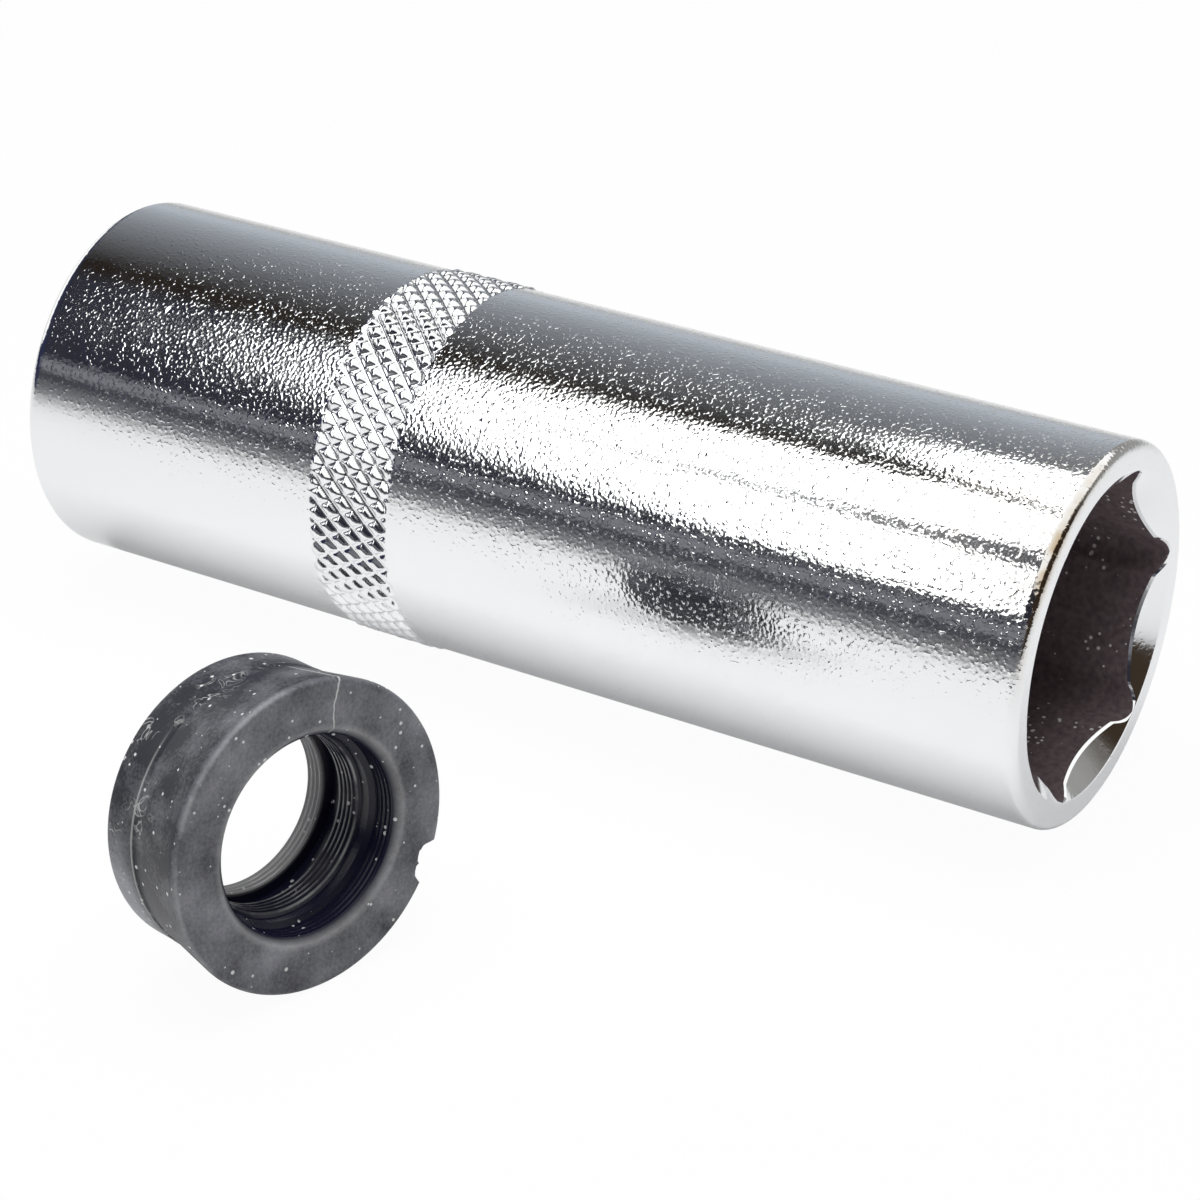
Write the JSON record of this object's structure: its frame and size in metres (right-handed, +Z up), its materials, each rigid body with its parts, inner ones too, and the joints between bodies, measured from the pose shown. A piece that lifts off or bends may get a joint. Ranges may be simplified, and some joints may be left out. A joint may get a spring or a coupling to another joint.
{
  "type": "spark plug socket",
  "caption": "Deep chromed socket with a relieved hexagon mouth, square drive and knurled band, and a loose rubber ring that grips the spark plug.",
  "frame": {"origin": "centre of the drive end face, on the socket's axis", "axes": "+X along the socket's axis from the drive end to the mouth, +Z up from the surface that the socket lies on, +Y to the left of +X"},
  "size_m": [0.066, 0.0547, 0.0222],
  "materials": {
    "satin_chrome_steel": "satin chrome plate with a fine grain, on forged and turned steel",
    "moulded_rubber": "matte moulded rubber, dusty and a little scuffed"
  },
  "bodies": {
    "root": {"socket_body": "satin_chrome_steel", "rubber_insert": "moulded_rubber"}
  },
  "joints": []
}
